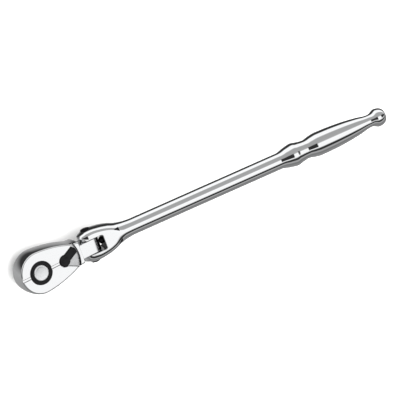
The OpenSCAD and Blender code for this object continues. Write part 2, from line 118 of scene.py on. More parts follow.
# Head
PIVOT = joint_at["head_flex"]
LEVER_X = joint_at["lever_switch"].x
PIN_X = joint_at["pawl_rock"].x
TOP_Z = head_high.z
UNDER_Z = head_low.z
COVER_Z = plate_high.z
CEILING_Z = 12.0
HEAD_R = -head_low.x
HEAD_EDGE = 1.1
FLANK_R = 80.0
NECK_R = 14.0
SHOULDER_W = 17.0
SHOULDER_ROUND = 2.2
TANG_RUN = 8.8
TANG_HALF = 4.9
TANG_R = 6.3
SHOULDER_X = PIVOT.x - TANG_RUN
NECK_X = SHOULDER_X - SHOULDER_ROUND
NECK_Y = SHOULDER_W / 2 + NECK_R
CAVITY_R = 10.9
POCKET_R = 14.5
POCKET_Y = 9.2
HEAD_CROWN = 0.45
PIN_BORE_R = 0.92
SCREW_BORE_R = 1.27
SCREW_HEAD_R = 2.1
SCREW_NEAR_X = LEVER_X - 3.3
SCREW_FAR_X = LEVER_X + 7.4
COVER_INSET = 2.4
COVER_END = LEVER_X + 10.4
SPINE_HALF = 1.05
SPINE_DEPTH = 0.3

# Lever and its recess
LEVER_SWING = math.radians(27)
LEVER_HALF = 2.9
LEVER_LENGTH = 10.9
SHAFT_BORE_R = 3.25
LEVER_SHAFT_R = 3.2
HUB_R = LEVER_SHAFT_R + 0.75
CLIP_GROOVE_LOW = COVER_Z + 0.65
CLIP_GROOVE_HIGH = COVER_Z + 1.25
CLIP_GROOVE_R = LEVER_SHAFT_R - 0.6
CLIP_ROOM_R = SHAFT_BORE_R + 1.1
CLIP_ROOM_Z = COVER_Z + 1.3
SEAL_GROOVE_HALF = 0.47
SEAL_GROOVE_R = 2.33
RECESS_Z = TOP_Z - 2.2
RECESS_ARC_R = 22.0
PLUNGER_Z = 7.55
PLUNGER_BORE_R = 0.9

# Handle
REST_FLEX = math.radians(9)
YOKE_HALF = 11.65
YOKE_FLAT = 7.0
YOKE_BLEND = 3.2
YOKE_END = 32.0
SHAFT_R = 5.7
COLLAR_R = 8.1
WAIST_R = 6.55
GRIP_R = 8.15
TAIL_R = 4.45
KNOB_R = 6.4
KNOB_FACE_R = 2.0
HANDLE_LENGTH = 221.0
GRIP_X = HANDLE_LENGTH - 80
KNOB_X = HANDLE_LENGTH - 6.2
SLOT_HALF = 5.25
SLOT_DEPTH = 9.0
SLOT_ROUND = 1.5
BOLT_R = 2.45
BOLT_HEAD_R = 3.3
BOLT_SEAT = YOKE_HALF - 1.6
BOLT_DOME = 0.7
PLUG_BORE_R = 2.45
PLUG_BORE_END = SLOT_DEPTH + 11

# Ring, button and its spring
BUTTON_R = 5.45
DISH = 0.12
SPRING_WIRE_R = 0.35

# Running clearance, how far a tool starts outside what it cuts, and past the widest part
FIT = 0.05
OVERCUT = 0.5
RIGHT_THROUGH = 15.0

# ---------------------------------------------------------------- materials


def linear(hex_colour):
    """An sRGB hex colour as linear red, green, blue and alpha."""
    values = [int(hex_colour[i:i + 2], 16) / 255 for i in (1, 3, 5)]
    return [v / 12.92 if v <= 0.04045 else ((v + 0.055) / 1.055) ** 2.4 for v in values] + [1.0]


def add(tree, kind, settings=None, links=None):
    """Adds a node, sets its properties or input values, and links its inputs from other nodes' outputs."""
    node = tree.nodes.new(kind)
    for key, value in (settings or {}).items():
        if isinstance(key, str) and hasattr(node, key):
            setattr(node, key, value)
        else:
            node.inputs[key].default_value = value
    for key, source in (links or {}).items():
        tree.links.new(source, node.inputs[key])
    return node


def new_material(name):
    material = bpy.data.materials.new(name)
    material.use_nodes = True
    material.node_tree.nodes.clear()
    return material, material.node_tree


def set_ramp(node, stops):
    """Gives a colour ramp its stops: position and grey value or colour."""
    ramp = node.color_ramp
    while len(ramp.elements) > 1:
        ramp.elements.remove(ramp.elements[-1])
    for i, (position, value) in enumerate(stops):
        element = ramp.elements[0] if i == 0 else ramp.elements.new(position)
        element.position = position
        element.color = value if isinstance(value, list) else [value, value, value, 1]


def per_metre(size_mm):
    """Scale of a noise whose grain is this many millimetres."""
    return 1 / (size_mm * MM)


def finish_surface(tree, settings, links, normal=None):
    shader = add(tree, "ShaderNodeBsdfPrincipled", settings, links)
    if normal is not None:
        tree.links.new(normal, shader.inputs["Normal"])
    add(tree, "ShaderNodeOutputMaterial", links={"Surface": shader.outputs["BSDF"]})


def mottled(tree, grain_mm, low, high, detail=3.0):
    """A number that wanders from low to high over the surface, in patches of a real size."""
    at = add(tree, "ShaderNodeTexCoord")
    noise = add(tree, "ShaderNodeTexNoise", {"Scale": per_metre(grain_mm), "Detail": detail},
                {"Vector": at.outputs["Object"]})
    spread = add(tree, "ShaderNodeMapRange",
                 {"From Min": 0.3, "From Max": 0.7, "To Min": low, "To Max": high},
                 {"Value": noise.outputs["Fac"]})
    return noise.outputs["Fac"], spread.outputs["Result"]


def polished_chrome():
    # Chrome plate over buffed forged steel: a clear mirror, with a trace of the buffing left as haze
    material, tree = new_material("polished_chrome")
    _, haze = mottled(tree, 6.0, 0.045, 0.085)
    ripple, _ = mottled(tree, 2.2, 0, 1, 1.0)
    bump = add(tree, "ShaderNodeBump", {"Strength": 0.02, "Distance": 0.02 * MM}, {"Height": ripple})
    finish_surface(tree, {"Base Color": linear("#F1F2F3"), "Metallic": 1.0}, {"Roughness": haze},
                   bump.outputs["Normal"])
    return material


def satin_chrome(name, colour, rough):
    # Chrome plate over blasted steel: the fine pits blur the mirror to an even pale grey
    material, tree = new_material(name)
    _, haze = mottled(tree, 1.5, rough - 0.05, rough + 0.05)
    pits, _ = mottled(tree, 0.25, 0, 1, 2.0)
    bump = add(tree, "ShaderNodeBump", {"Strength": 0.12, "Distance": 0.03 * MM}, {"Height": pits})
    finish_surface(tree, {"Base Color": linear(colour), "Metallic": 1.0}, {"Roughness": haze},
                   bump.outputs["Normal"])
    return material


def turned_steel(name, colour, rough, feed_mm):
    # Steel faced on a lathe: rings as fine as the tool's feed drag the highlight round the axis
    material, tree = new_material(name)
    _, haze = mottled(tree, 1.2, rough - 0.04, rough + 0.04)
    at = add(tree, "ShaderNodeTexCoord")
    rings = add(tree, "ShaderNodeTexWave",
                {"wave_type": "RINGS", "rings_direction": "Z", "Scale": WAVE_PERIOD / (feed_mm * MM),
                 "Distortion": 0.6, "Detail": 1.0, "Detail Scale": 2.0},
                {"Vector": at.outputs["Object"]})
    bump = add(tree, "ShaderNodeBump", {"Strength": 0.18, "Distance": 0.02 * MM},
               {"Height": rings.outputs["Fac"]})
    tint = add(tree, "ShaderNodeValToRGB", links={"Fac": rings.outputs["Fac"]})
    set_ramp(tint, [(0.0, linear(colour[0])), (1.0, linear(colour[1]))])
    finish_surface(tree, {"Metallic": 1.0, "Anisotropic": 0.4},
                   {"Roughness": haze, "Base Color": tint.outputs["Color"]}, bump.outputs["Normal"])
    return material


def bare_metal(name, colours, rough, grain_mm, relief=0.1):
    # Bare or treated steel and bronze: the colour drifts with the treatment, and the grain breaks the gloss
    material, tree = new_material(name)
    drift, haze = mottled(tree, grain_mm * 6, rough - 0.06, rough + 0.06)
    tint = add(tree, "ShaderNodeValToRGB", links={"Fac": drift})
    set_ramp(tint, [(0.35, linear(colours[0])), (0.65, linear(colours[1]))])
    grain, _ = mottled(tree, grain_mm, 0, 1, 2.0)
    bump = add(tree, "ShaderNodeBump", {"Strength": relief, "Distance": 0.02 * MM}, {"Height": grain})
    finish_surface(tree, {"Metallic": 1.0}, {"Roughness": haze, "Base Color": tint.outputs["Color"]},
                   bump.outputs["Normal"])
    return material


def moulded(name, colours, rough, grain_mm, gloss, relief):
    # Moulded or coated black: the mould's spark-eroded skin, or the paint's orange peel, softens its gloss
    material, tree = new_material(name)
    drift, haze = mottled(tree, grain_mm * 8, rough - 0.05, rough + 0.05)
    tint = add(tree, "ShaderNodeValToRGB", links={"Fac": drift})
    set_ramp(tint, [(0.35, linear(colours[0])), (0.65, linear(colours[1]))])
    grain, _ = mottled(tree, grain_mm, 0, 1, 2.0)
    bump = add(tree, "ShaderNodeBump", {"Strength": relief, "Distance": 0.03 * MM}, {"Height": grain})
    finish_surface(tree, {"Specular IOR Level": gloss},
                   {"Roughness": haze, "Base Color": tint.outputs["Color"]}, bump.outputs["Normal"])
    return material


# One period of the wave texture at scale 1, in metres
WAVE_PERIOD = math.pi / 10

CHROME = polished_chrome()
BLASTED_CHROME = satin_chrome("blasted_chrome", "#E0E1E2", 0.30)
BRUSHED_CHROME = satin_chrome("satin_chrome", "#CBCCCE", 0.24)
FACED_STEEL = turned_steel("faced_steel", ("#E4E6E8", "#F6F7F7"), 0.20, 0.3)
NYLON = moulded("glass_filled_nylon", ("#0B0B0C", "#141415"), 0.46, 0.25, 0.14, 0.15)
BLACK_COAT = moulded("black_e_coat", ("#0A0A0B", "#121213"), 0.30, 0.6, 0.16, 0.08)
NITRILE = moulded("nitrile_rubber", ("#101010", "#181818"), 0.70, 0.4, 0.30, 0.2)
# Black oxide for the small steel parts, also used as painted shade on the walls of the handle's slot, the
# lever's recess and the spine's groove
BLACK_OXIDE_AND_PAINTED_SHADE = bare_metal("black_oxide_steel", ("#232325", "#303033"), 0.38, 0.3)
GROUND_STEEL = bare_metal("ground_hard_steel", ("#8F9092", "#A3A4A6"), 0.28, 0.2)
SPRING_WIRE = bare_metal("drawn_spring_wire", ("#9A9B9E", "#B2B3B5"), 0.24, 0.3)
BRONZE = bare_metal("rolled_bronze", ("#A87C46", "#BD9056"), 0.32, 0.25)

# ---------------------------------------------------------------- mesh work


def new_piece(name, points, faces, materials):
    """A piece from points in millimetres."""
    mesh = bpy.data.meshes.new(name)
    mesh.from_pydata([(Vector(p) * MM)[:] for p in points], [], faces)
    mesh.update()
    piece = bpy.data.objects.new(name, mesh)
    bpy.context.scene.collection.objects.link(piece)
    for material in materials:
        mesh.materials.append(material)
    return piece


def loft(rings, close_ends=True):
    """Points and faces of a tube through rings with the same number of points."""
    count = len(rings[0])
    points = [p for ring in rings for p in ring]
    faces = []
    for i in range(len(rings) - 1):
        for j in range(count):
            k = (j + 1) % count
            faces.append((i * count + j, i * count + k, (i + 1) * count + k, (i + 1) * count + j))
    if close_ends:
        faces.append(tuple(reversed(range(count))))
        last = (len(rings) - 1) * count
        faces.append(tuple(last + j for j in range(count)))
    return points, faces


def tidy_mesh(piece, merge_mm=0.002):
    """Merges doubled points, drops flat slivers and turns all faces outward."""
    work = bmesh.new()
    work.from_mesh(piece.data)
    bmesh.ops.remove_doubles(work, verts=work.verts, dist=merge_mm * MM)
    bmesh.ops.dissolve_degenerate(work, edges=work.edges, dist=0.0005 * MM)
    bmesh.ops.recalc_face_normals(work, faces=work.faces)
    work.to_mesh(piece.data)
    work.free()


def turned(name, profile, sides, axis, centre, materials):
    """A turned piece. The profile is (radius, height) along the axis, closed on the axis or as a ring."""
    closed = profile[0][0] > 0 and profile[-1][0] > 0
    rings = [[(r * math.cos(2 * math.pi * j / sides), r * math.sin(2 * math.pi * j / sides), h)
              for j in range(sides)] for r, h in profile]
    if closed:
        rings.append(rings[0])
    points, faces = loft(rings, close_ends=False)
    piece = new_piece(name, points, faces, materials)
    turn = {"Z": Matrix.Identity(4), "X": Matrix.Rotation(math.pi / 2, 4, "Y"),
            "Y": Matrix.Rotation(-math.pi / 2, 4, "X")}[axis]
    piece.data.transform(Matrix.Translation(Vector(centre) * MM) @ turn)
    tidy_mesh(piece)
    return piece


def cut(piece, tool, operation="DIFFERENCE"):
    """Cuts a piece with a tool, or joins the tool to it, and throws the tool away."""
    modifier = piece.modifiers.new("cut", "BOOLEAN")
    modifier.operation = operation
    modifier.solver = "EXACT"
    modifier.object = tool
    bpy.context.view_layer.update()
    shaped = bpy.data.meshes.new_from_object(piece.evaluated_get(bpy.context.evaluated_depsgraph_get()))
    piece.modifiers.clear()
    old = piece.data
    piece.data = shaped
    shaped.name = piece.name
    bpy.data.meshes.remove(old)
    bpy.data.objects.remove(tool)


def smooth(piece, crease_degrees=32):
    """Smooth shading that keeps real edges crisp and wide flats flat."""
    piece.data.shade_smooth()
    piece.data.set_sharp_from_angle(angle=math.radians(crease_degrees))
    weigh = piece.modifiers.new("flats", "WEIGHTED_NORMAL")
    weigh.keep_sharp = True
    weigh.weight = 80


def at_handle():
    """Where the handle's own frame lies: origin on the flex pivot, X along the handle."""
    return Matrix.Translation(PIVOT * MM) @ Matrix.Rotation(-REST_FLEX, 4, "Y")


def soft_min(a, b, blend):
    """The smaller of two numbers, with the corner between them rounded off."""
    share = min(max(0.5 + 0.5 * (b - a) / blend, 0), 1)
    return b + (a - b) * share - blend * share * (1 - share)


def smooth_curve(stations, steps):
    """A smooth, never overshooting curve through stations of (x, y)."""
    def slope(i):
        if i in (0, len(stations) - 1):
            return 0
        (x0, y0), (x1, y1), (x2, y2) = stations[i - 1:i + 2]
        a, b = (y1 - y0) / (x1 - x0), (y2 - y1) / (x2 - x1)
        return 0 if a * b <= 0 else 2 * a * b / (a + b)
    curve = []
    for i in range(len(stations) - 1):
        (x0, y0), (x1, y1) = stations[i:i + 2]
        h = x1 - x0
        for k in range(steps):
            t = k / steps
            curve.append((x0 + t * h, (2 * t ** 3 - 3 * t ** 2 + 1) * y0 + (3 * t ** 2 - 2 * t ** 3) * y1
                          + h * ((t ** 3 - 2 * t ** 2 + t) * slope(i) + (t ** 3 - t ** 2) * slope(i + 1))))
    return curve + [stations[-1]]


# ---------------------------------------------------------------- handle


def between(a, b, share):
    return a + (b - a) * share


HANDLE_LINE = [
    (-YOKE_FLAT - 0.5, YOKE_HALF - 2.2), (-4, YOKE_HALF - 1), (-1.5, YOKE_HALF - 0.2), (2.5, YOKE_HALF),
    (9, between(SHAFT_R, YOKE_HALF, 0.88)), (15, between(SHAFT_R, YOKE_HALF, 0.64)),
    (21, between(SHAFT_R, YOKE_HALF, 0.26)), (26, between(SHAFT_R, YOKE_HALF, 0.08)),
    (32, SHAFT_R), (GRIP_X, SHAFT_R),
    (GRIP_X + 6, between(SHAFT_R, COLLAR_R, 0.62)), (GRIP_X + 11.5, COLLAR_R),
    (GRIP_X + 15.5, between(WAIST_R, COLLAR_R, 0.45)), (GRIP_X + 20.3, WAIST_R),
    (GRIP_X + 24.5, between(WAIST_R, GRIP_R, 0.56)), (GRIP_X + 29.5, GRIP_R),
    (GRIP_X + 38, GRIP_R - 0.15), (GRIP_X + 50, between(TAIL_R, GRIP_R, 0.74)),
    (GRIP_X + 60, between(TAIL_R, GRIP_R, 0.38)), (KNOB_X - 5.6, TAIL_R), (KNOB_X, KNOB_R)]


def steps_to(degrees, count):
    """Angles in radians from the first step up to the whole turn given."""
    return [math.radians(degrees * (i + 1) / count) for i in range(count)]


def arc(centre, radius, start, end, count):
    """Points along an arc, from one angle in degrees to another, both ends included."""
    turns = [math.radians(between(start, end, i / count)) for i in range(count + 1)]
    return [(centre[0] + radius * math.cos(t), centre[1] + radius * math.sin(t)) for t in turns]


def handle_section(x, r, per_quarter=36):
    """One ring of the handle: a circle, with flats above and below where it is wide enough for them."""
    half = YOKE_FLAT if x >= 0 else math.sqrt(max(YOKE_FLAT ** 2 - x ** 2, 0))
    blend = min(YOKE_BLEND * max(1 - max(x, 0) / YOKE_END, 0.03), max(half, 0.01))
    turns = [math.pi / 2 * i / per_quarter for i in range(per_quarter)]

    def height(rise):
        return soft_min(rise, half, blend) if x < YOKE_END else rise
    quarter = [(r * math.cos(t), height(r * math.sin(t))) for t in turns]
    top = (0.0, height(r))
    ring = quarter + [top] + [(-y, z) for y, z in reversed(quarter[1:])]
    ring += [(-y, -z) for y, z in quarter] + [(0.0, -top[1])] + [(y, -z) for y, z in reversed(quarter[1:])]
    return [(x, y, z) for y, z in ring]


def slot_tool():
    """The slot between the cheeks, flared a little where it breaks through the flats."""
    def outline(grow):
        end, half = SLOT_DEPTH + grow, SLOT_HALF + grow
        right = arc((end - SLOT_ROUND, half - SLOT_ROUND), SLOT_ROUND, 0, 90, 6)
        left = [(x, -y) for x, y in reversed(right)]
        return [(-20, -half)] + left + right + [(-20, half)]
    flare = 0.35
    levels = [(-20, 2 * flare), (-YOKE_FLAT - flare, 2 * flare), (-YOKE_FLAT + flare, 0),
              (YOKE_FLAT - flare, 0), (YOKE_FLAT + flare, 2 * flare), (20, 2 * flare)]
    points, faces = loft([[(x, y, z) for x, y in outline(grow)] for z, grow in levels])
    tool = new_piece("slot_tool", points, faces, [])
    tidy_mesh(tool)
    return tool


def handle_rings():
    """Rings from the yoke's round tips to the end of the knob."""
    line = smooth_curve(HANDLE_LINE, 12)

    def radius_at(x):
        for (x0, r0), (x1, r1) in zip(line, line[1:]):
            if x0 <= x <= x1:
                return between(r0, r1, (x - x0) / (x1 - x0))
        return line[0][1]
    tips = [-YOKE_FLAT * math.cos(math.radians(90 * i / 24)) for i in range(24)]
    rings = [handle_section(x, radius_at(x)) for x in tips]
    rings += [handle_section(x, r) for x, r in line if x >= 0]
    for a in steps_to(90, 14):
        rings.append(handle_section(between(KNOB_X, HANDLE_LENGTH, math.sin(a)),
                                    between(KNOB_FACE_R, KNOB_R, math.cos(a))))
    return rings


def make_handle():
    points, faces = loft(handle_rings())
    handle = new_piece("handle_forging", points, faces, [CHROME, BLACK_OXIDE_AND_PAINTED_SHADE])
    tidy_mesh(handle)
    cut(handle, slot_tool())
    cut(handle, drill("Y", BOLT_R, -RIGHT_THROUGH, RIGHT_THROUGH))
    cut(handle, drill("X", PLUG_BORE_R, SLOT_DEPTH - 5, PLUG_BORE_END))
    cut(handle, drill("Y", BOLT_HEAD_R + FIT, BOLT_SEAT, BOLT_SEAT + 8))
    cut(handle, drill("Y", BOLT_HEAD_R + FIT, -BOLT_SEAT - 8, -BOLT_SEAT))
    # The slot's inner walls and the plug's bore are painted black oxide: painted shade inside the slot
    paint_faces(handle, 1, lambda at, n: 3 < at.x < PLUG_BORE_END + 1 and abs(at.y) < SLOT_HALF + 0.1
                and abs(at.z) < YOKE_FLAT - 0.4)
    handle.data.transform(at_handle())
    place(handle, "handle", "handle")


def domed_end(sign):
    """Profile of a domed head on the Y axis, from the axis under the head to the axis on its top."""
    base = YOKE_HALF - BOLT_SEAT
    dome = [(BOLT_HEAD_R * math.cos(a), base + BOLT_DOME * math.sin(a)) for a in steps_to(90, 8)]
    return [(r, sign * (BOLT_SEAT + h)) for r, h in [(BOLT_HEAD_R, 0), (BOLT_HEAD_R, base)] + dome]


def make_pivot_bolt():
    profile = [(0, -BOLT_SEAT - 1), (BOLT_R, -BOLT_SEAT - 1), (BOLT_R, BOLT_SEAT)] + domed_end(1)
    bolt = turned("shouldered_bolt", profile, 72, "Y", (0, 0, 0), [BLACK_OXIDE_AND_PAINTED_SHADE])
    bolt.data.transform(at_handle())
    place(bolt, "handle", "pivot_bolt")
    bore = BOLT_SEAT + 1
    nut = turned("domed_nut", [(0, -bore), (BOLT_R, -bore), (BOLT_R, -BOLT_SEAT)] + domed_end(-1), 72, "Y",
                 (0, 0, 0), [BLACK_OXIDE_AND_PAINTED_SHADE])
    nut.data.transform(at_handle())
    place(nut, "handle", "pivot_nut")


# ---------------------------------------------------------------- head


def flank_centre():
    """Centre of the left flank's arc, which is tangent to the round tip and to the hollow neck."""
    far = math.hypot(NECK_X, NECK_Y)
    reach = FLANK_R - HEAD_R
    along = (reach ** 2 - (FLANK_R + NECK_R) ** 2 + far ** 2) / (2 * far)
    aside = math.sqrt(reach ** 2 - along ** 2)
    return ((along * NECK_X + aside * NECK_Y) / far, (along * NECK_Y - aside * NECK_X) / far)


def mirrored(half):
    """A whole outline from its left half, which runs from the tip to the centre line of the far end."""
    return half + [(x, -y) for x, y in reversed(half[1:-1])]


def head_outline(inset):
    """Plan of the head, drawn in by an inset: round tip, long flanks, hollow neck and square shoulder."""
    flank = flank_centre()
    join = math.degrees(math.atan2(-flank[1], -flank[0]))
    turn = math.degrees(math.atan2(NECK_Y - flank[1], NECK_X - flank[0]))
    half = arc((0, 0), HEAD_R - inset, 180, join, 28)
    half += arc(flank, FLANK_R - inset, join, turn, 20)[1:]
    half += arc((NECK_X, NECK_Y), NECK_R + inset, turn + 180, 270, 8)[1:]
    half += arc((NECK_X, SHOULDER_W / 2 - SHOULDER_ROUND), SHOULDER_ROUND - inset, 90, 0, 6)[1:]
    return mirrored(half + [(SHOULDER_X - inset, 3), (SHOULDER_X - inset, 0)])


def cover_outline(inset):
    """Plan of the cover plate: the head's tip and flanks, cut off square."""
    flank = flank_centre()
    join = math.degrees(math.atan2(-flank[1], -flank[0]))
    radius = FLANK_R - inset
    end_y = flank[1] + math.sqrt(radius ** 2 - (COVER_END - flank[0]) ** 2)
    turn = math.degrees(math.atan2(end_y - flank[1], COVER_END - flank[0]))
    half = arc((0, 0), HEAD_R - inset, 180, join, 28) + arc(flank, radius, join, turn, 16)[1:]
    return mirrored(half + [(COVER_END, 0)])


def rounded_slab(name, outline, low, high, low_edge, high_edge, materials, crown=0.0, steps=6):
    """A slab with an outline that can be drawn in, rounded edges and slightly bellied walls."""
    turns = [0] + steps_to(90, steps)
    rings = [(low_edge * (1 - math.sin(a)) + crown, low + low_edge * (1 - math.cos(a))) for a in turns]
    for i in range(1, 8):
        rings.append((crown * (i / 4 - 1) ** 2, between(low + low_edge, high - high_edge, i / 8)))
    rings += [(high_edge * (1 - math.cos(a)) + crown, high - high_edge * (1 - math.sin(a))) for a in turns]
    points, faces = loft([[(x, y, z) for x, y in outline(inset)] for inset, z in rings])
    piece = new_piece(name, points, faces, materials)
    tidy_mesh(piece)
    return piece


def prism(points, low, high):
    """A plain tool with a plan outline."""
    shape, faces = loft([[(x, y, low) for x, y in points], [(x, y, high) for x, y in points]])
    tool = new_piece("tool", shape, faces, [])
    tidy_mesh(tool)
    return tool


def block(x0, x1, half_y, low, high):
    return prism([(x0, -half_y), (x1, -half_y), (x1, half_y), (x0, half_y)], low, high)


def drill(axis, radius, start, end, centre=(0, 0, 0), mouth=0.0):
    """A drill along an axis; a mouth countersinks its far end by that much at 45 degrees."""
    flare = [(radius, end - 2 * mouth), (radius + 2 * mouth, end)] if mouth else [(radius, end)]
    return turned("drill", [(0, start), (radius, start)] + flare + [(0, end)], 96, axis, centre, [])


def fan_outline(grow):
    """Plan of the lever's recess, round its pivot: a hub, two straight sides and an arc at the far end."""
    side, hub = LEVER_HALF + 0.5 + grow, HUB_R + 0.35 + grow
    end = LEVER_LENGTH + 0.4 + grow
    centre = end - RECESS_ARC_R
    across = (-math.sin(LEVER_SWING), math.cos(LEVER_SWING))
    along = (math.cos(LEVER_SWING), math.sin(LEVER_SWING))
    foot = (across[0] * side, across[1] * side)
    start = math.sqrt(hub ** 2 - side ** 2)
    gap = (foot[0] - centre, foot[1])
    dot = gap[0] * along[0] + gap[1] * along[1]
    reach = -dot + math.sqrt(dot ** 2 - gap[0] ** 2 - gap[1] ** 2 + RECESS_ARC_R ** 2)
    near = (foot[0] + start * along[0], foot[1] + start * along[1])
    corner = (foot[0] + reach * along[0], foot[1] + reach * along[1])
    near_turn = math.degrees(math.atan2(near[1], near[0]))
    corner_turn = math.degrees(math.atan2(corner[1], corner[0] - centre))
    half = arc((0, 0), hub, 180, near_turn, 20) + arc((centre, 0), RECESS_ARC_R, corner_turn, 0, 12)
    return [(LEVER_X + x, y) for x, y in mirrored(half)]


def fan_tool():
    """The recess, flared at the head's top face so that its rim is a small rounded edge."""
    levels = [(RECESS_Z, 0), (TOP_Z - 0.2, 0), (TOP_Z - 0.05, 0.08), (TOP_Z + 0.3, 0.4), (TOP_Z + 2, 0.4)]
    points, faces = loft([[(x, y, z) for x, y in fan_outline(grow)] for z, grow in levels])
    tool = new_piece("fan_tool", points, faces, [])
    tidy_mesh(tool)
    return tool


def spine_tool():
    """The shallow groove along the back: a flat floor between two sloping sides."""
    slope = 0.35
    rows = [(-SPINE_HALF + slope, TOP_Z - SPINE_DEPTH), (SPINE_HALF - slope, TOP_Z - SPINE_DEPTH),
            (SPINE_HALF + slope, TOP_Z + 0.3), (-SPINE_HALF - slope, TOP_Z + 0.3)]
    points, faces = loft([[(x, y, z) for y, z in rows] for x in (-HEAD_R - 2, LEVER_X - HUB_R)])
    tool = new_piece("spine_tool", points, faces, [])
    tidy_mesh(tool)
    return tool


def tang_block():
    """The tang with its round eye, its edges just broken."""
    def outline(inset):
        return ([(SHOULDER_X - 3, PIVOT.z - TANG_R + inset)]
                + arc((PIVOT.x, PIVOT.z), TANG_R - inset, -90, 90, 40)
                + [(SHOULDER_X - 3, PIVOT.z + TANG_R - inset)])
    rings = [(-TANG_HALF, 0.3), (-TANG_HALF + 0.1, 0.1), (-TANG_HALF + 0.3, 0),
             (TANG_HALF - 0.3, 0), (TANG_HALF - 0.1, 0.1), (TANG_HALF, 0.3)]
    points, faces = loft([[(x, y, z) for x, z in outline(inset)] for y, inset in rings])
    tang = new_piece("tang", points, faces, [])
    tidy_mesh(tang)
    return tang


def paint_faces(piece, slot, choose):
    """Gives a piece's faces another of its materials, chosen by centre in millimetres and normal."""
    for face in piece.data.polygons:
        if choose(face.center / MM, face.normal):
            face.material_index = slot


def make_head():
    head = rounded_slab("head_forging", head_outline, UNDER_Z, TOP_Z, HEAD_EDGE, HEAD_EDGE,
                        [CHROME, BLASTED_CHROME, BLACK_OXIDE_AND_PAINTED_SHADE], HEAD_CROWN)
    rise = (PIVOT.z - TANG_R - UNDER_Z) / SHOULDER_ROUND
    for point in head.data.vertices:
        lift = (point.co.x / MM - NECK_X) * rise
        if lift > 0:
            point.co.z = max(point.co.z, (UNDER_Z + lift) * MM)
    cut(head, tang_block(), "UNION")
    cut(head, drill("Y", BOLT_R + FIT, -RIGHT_THROUGH, RIGHT_THROUGH, (PIVOT.x, 0, PIVOT.z)))
    cut(head, prism(cover_outline(COVER_INSET - FIT), UNDER_Z - 2, COVER_Z))
    cut(head, drill("Z", CAVITY_R, COVER_Z - OVERCUT, CEILING_Z))
    pocket = drill("Z", POCKET_R, COVER_Z - OVERCUT, CEILING_Z)
    cut(pocket, block(0, 30, POCKET_Y, COVER_Z - 1, CEILING_Z + 1), "INTERSECT")
    cut(head, pocket)
    cut(head, block(8, LEVER_X - 2, SHAFT_BORE_R, COVER_Z - OVERCUT, CEILING_Z))
    cut(head, drill("Z", ring_high.x + FIT, CEILING_Z - OVERCUT, TOP_Z + 0.15, mouth=0.15))
    cut(head, drill("Z", SHAFT_BORE_R, COVER_Z - OVERCUT, TOP_Z + 1, (LEVER_X, 0, 0)))
    cut(head, drill("Z", CLIP_ROOM_R, COVER_Z - OVERCUT, CLIP_ROOM_Z, (LEVER_X, 0, 0)))
    cut(head, drill("Z", PIN_BORE_R, COVER_Z - OVERCUT, CEILING_Z + 1.2, (PIN_X, 0, 0)))
    aside = screws_high.y - SCREW_HEAD_R
    for x, y in ((SCREW_NEAR_X, aside), (SCREW_NEAR_X, -aside), (SCREW_FAR_X, 0)):
        cut(head, drill("Z", SCREW_BORE_R, COVER_Z - OVERCUT, screws_high.z + 0.3, (x, y, 0)))
    cut(head, spine_tool())
    cut(head, fan_tool())
    # The lever's recess and the spine's groove have blasted floors. Their side walls are painted black oxide
    # as painted shade
    paint_faces(head, 1, lambda at, n: n.z > 0.9 and abs(at.z - RECESS_Z) < 0.2 and at.x > LEVER_X - 5)
    paint_faces(head, 2, lambda at, n: n.z < 0.9 and abs(n.y) > 0.5 and abs(at.y) < SPINE_HALF + 0.1
                and TOP_Z - SPINE_DEPTH < at.z < TOP_Z and at.x < LEVER_X - HUB_R)
    paint_faces(head, 2, lambda at, n: abs(n.z) < 0.3 and RECESS_Z < at.z < TOP_Z - 0.2
                and math.hypot(at.x - LEVER_X, at.y) < LEVER_LENGTH + 2 and at.x < SHOULDER_X - 1
                and abs(at.y) < 9)
    place(head, "head", "head_body")


# ---------------------------------------------------------------- lever, ring and button


def lever_outline(inset):
    """Plan of the thumb piece round its pivot: a bar that grows out of the hub, with rounded far corners."""
    half, end = LEVER_HALF - inset, LEVER_LENGTH - inset
    corner = 1.4 - inset
    reach = math.sqrt(end ** 2 - half ** 2)
    side = arc((reach - corner, half - corner), corner, 90, 20, 6)
    return mirrored([(-1, 0), (-1, half)] + [(x, half) for x in (1, 3, 5, 7)] + side + [(end, 0)])


def make_lever():
    bottom, top = RECESS_Z + 0.1, lever_high.z
    seal_z = (CEILING_Z + RECESS_Z) / 2
    seal_low, seal_high = seal_z - SEAL_GROOVE_HALF, seal_z + SEAL_GROOVE_HALF
    profile = [(0, COVER_Z + 0.2), (LEVER_SHAFT_R - 0.2, COVER_Z + 0.2), (LEVER_SHAFT_R, COVER_Z + 0.4),
               (LEVER_SHAFT_R, CLIP_GROOVE_LOW), (CLIP_GROOVE_R, CLIP_GROOVE_LOW),
               (CLIP_GROOVE_R, CLIP_GROOVE_HIGH), (LEVER_SHAFT_R, CLIP_GROOVE_HIGH),
               (LEVER_SHAFT_R, seal_low), (SEAL_GROOVE_R, seal_low), (SEAL_GROOVE_R, seal_high),
               (LEVER_SHAFT_R, seal_high), (LEVER_SHAFT_R, bottom), (HUB_R, bottom)]
    profile += arc((HUB_R - 0.7, top - 0.7), 0.7, 0, 90, 8)
    profile += [(2.0, top + 0.02), (1.7, top - 0.15), (0, top - 0.15)]
    lever = turned("thumb_lever", profile, 72, "Z", (0, 0, 0), [BLACK_COAT])
    bar = rounded_slab("bar", lever_outline, bottom, top - 0.12, 0.1, 0.6, [])
    cut(lever, bar, "UNION")
    cut(lever, drill("X", PLUNGER_BORE_R, -6, 2.2, (0, 0, PLUNGER_Z)))
    lever.data.transform(Matrix.Translation((LEVER_X * MM, 0, 0)) @ Matrix.Rotation(LEVER_SWING, 4, "Z"))
    place(lever, "lever", "reversing_lever")


